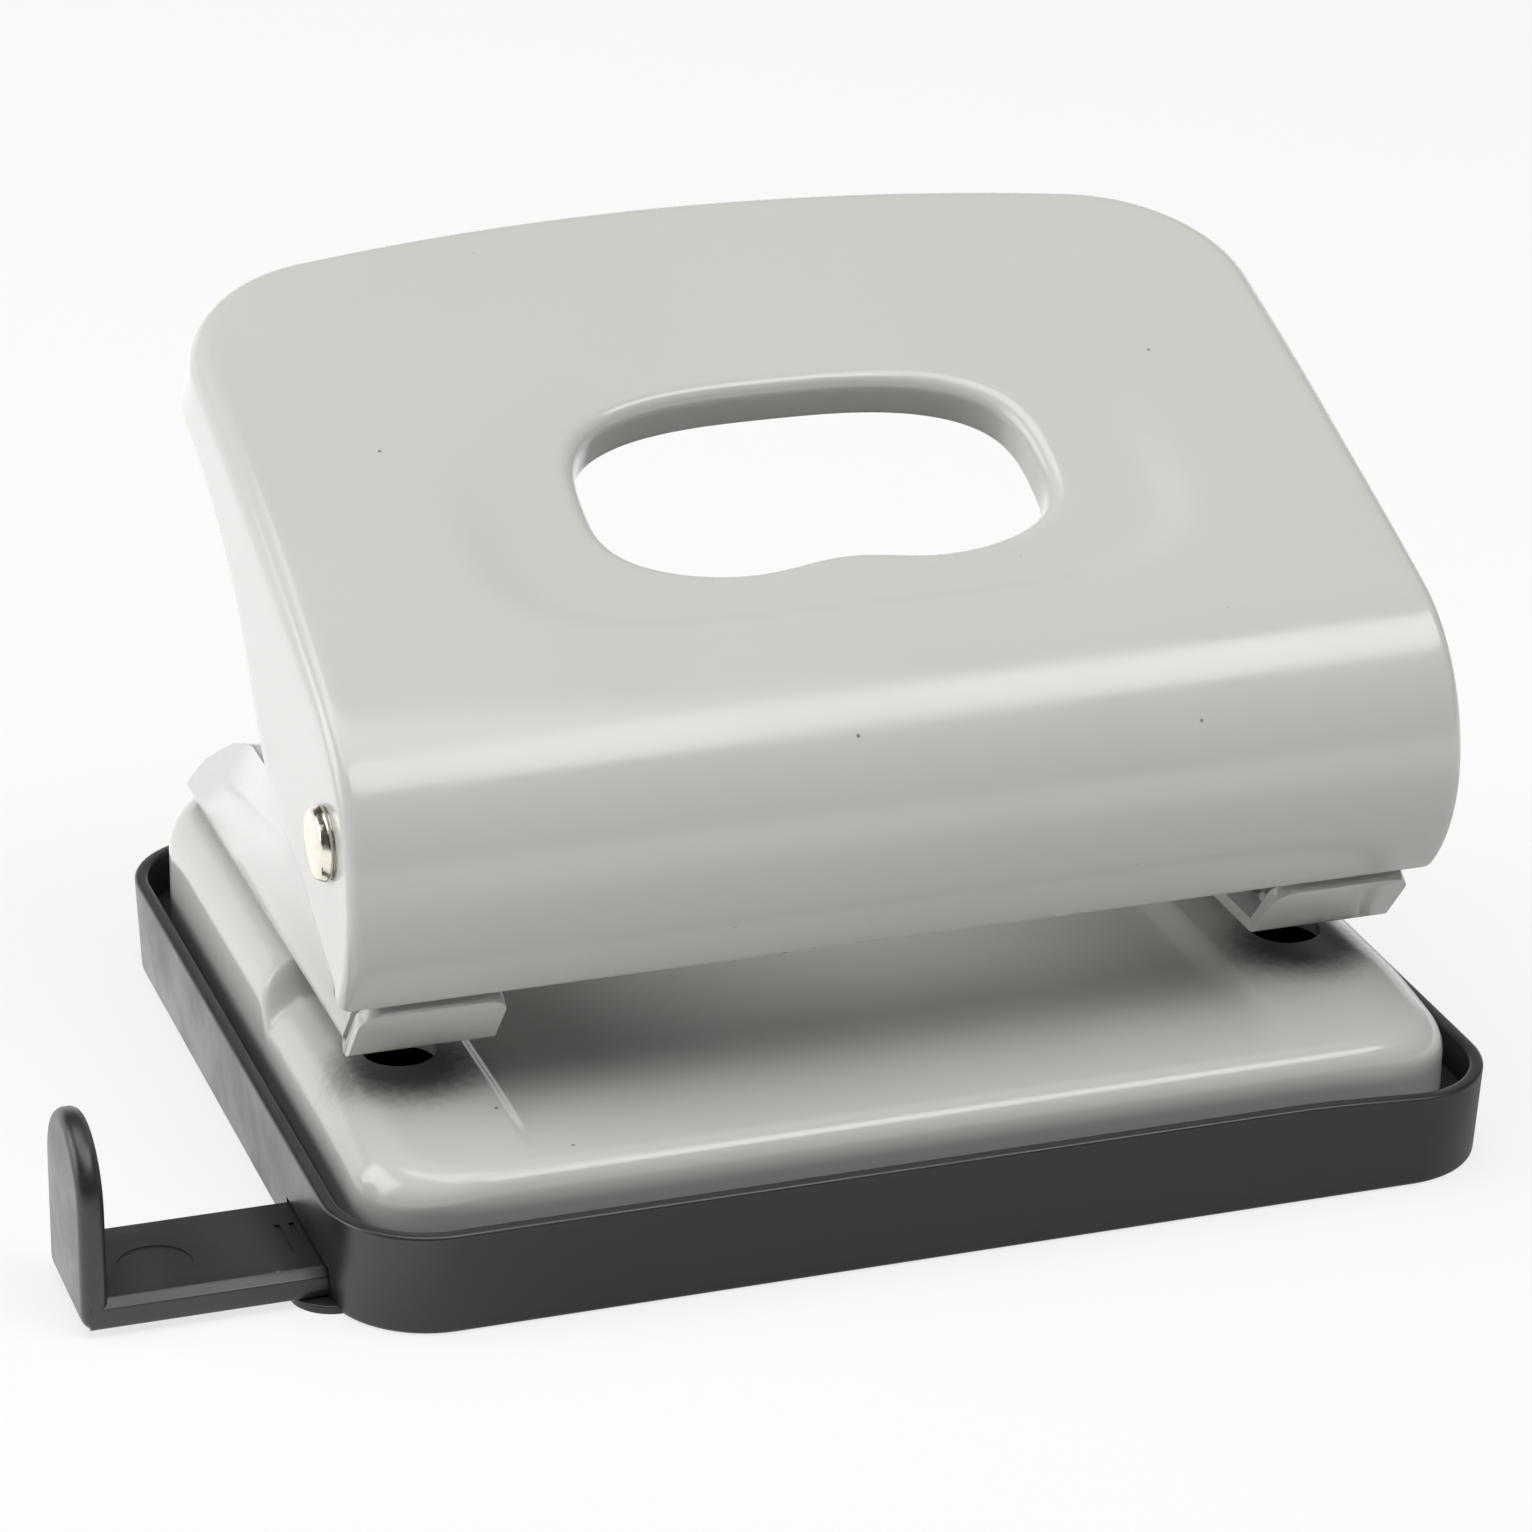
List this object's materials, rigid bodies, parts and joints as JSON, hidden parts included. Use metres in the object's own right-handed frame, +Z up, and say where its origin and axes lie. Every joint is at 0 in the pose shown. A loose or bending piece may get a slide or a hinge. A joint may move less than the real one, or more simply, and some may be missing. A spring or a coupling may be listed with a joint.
{
  "type": "manual two-hole paper punch",
  "caption": "Manual desk punch: a pressed-steel lever drives spring-returned pins through a paper throat over a moulded chip tray with a sliding paper guide.",
  "frame": {"origin": "middle of the tray's flat underside, on the table", "axes": "+Z up; +X along the row of holes, to the right of someone who puts paper in; -Y towards the side where the paper goes in"},
  "size_m": [0.1217, 0.082, 0.0681],
  "materials": {
    "black_plastic": "moulded, fine matte",
    "paint": "smooth warm light grey gloss enamel",
    "bright_steel": "turned and ground, zinc bright",
    "spring_steel": "drawn wire and stamped strip",
    "nickel": "nickel plated rivet"
  },
  "bodies": {
    "tray": {"chip_tray": "black_plastic"},
    "guide": {"paper_guide": "black_plastic"},
    "frame": {"base_plate": "paint", "left_bracket": "paint", "right_bracket": "paint", "left_foot_rivets": "bright_steel", "right_foot_rivets": "bright_steel", "left_return_spring": "spring_steel", "right_return_spring": "spring_steel", "left_pivot_rivet": "nickel", "right_pivot_rivet": "nickel", "left_pivot_washer": "bright_steel", "right_pivot_washer": "bright_steel"},
    "lever": {"lever_shell": "paint", "press_bar": "bright_steel"},
    "left_pin": {"left_punch_pin": "bright_steel", "left_pin_clip": "spring_steel", "left_spring_washer": "bright_steel"},
    "right_pin": {"right_punch_pin": "bright_steel", "right_pin_clip": "spring_steel", "right_spring_washer": "bright_steel"}
  },
  "joints": [
    {"name": "guide_slide", "type": "slide", "parent": "tray", "child": "guide", "axis": [-1, 0, 0], "range_m": [-0.008, 0.08]},
    {"name": "tray_release", "type": "slide", "parent": "tray", "child": "frame", "axis": [0, 0, 1], "range_m": [0, 0.02]},
    {"name": "lever_hinge", "type": "hinge", "parent": "frame", "child": "lever", "pos_m": [0, -0.0255, 0.0373], "axis": [-1, 0, 0], "range_deg": [0, 33.48], "stiffness_Nm_per_rad": 0.35, "springref_deg": -28.65},
    {"name": "left_pin_slide", "type": "slide", "parent": "frame", "child": "left_pin", "axis": [0, 0, -1], "range_m": [0, 0.0053], "deforming": ["left_return_spring"]},
    {"name": "right_pin_slide", "type": "slide", "parent": "frame", "child": "right_pin", "axis": [0, 0, -1], "range_m": [0, 0.0053], "deforming": ["right_return_spring"]}
  ],
  "couplings": [
    {"joint": "left_pin_slide", "follows": "lever_hinge", "m_per_rad": 0.0090696},
    {"joint": "right_pin_slide", "follows": "lever_hinge", "m_per_rad": 0.0090696}
  ]
}
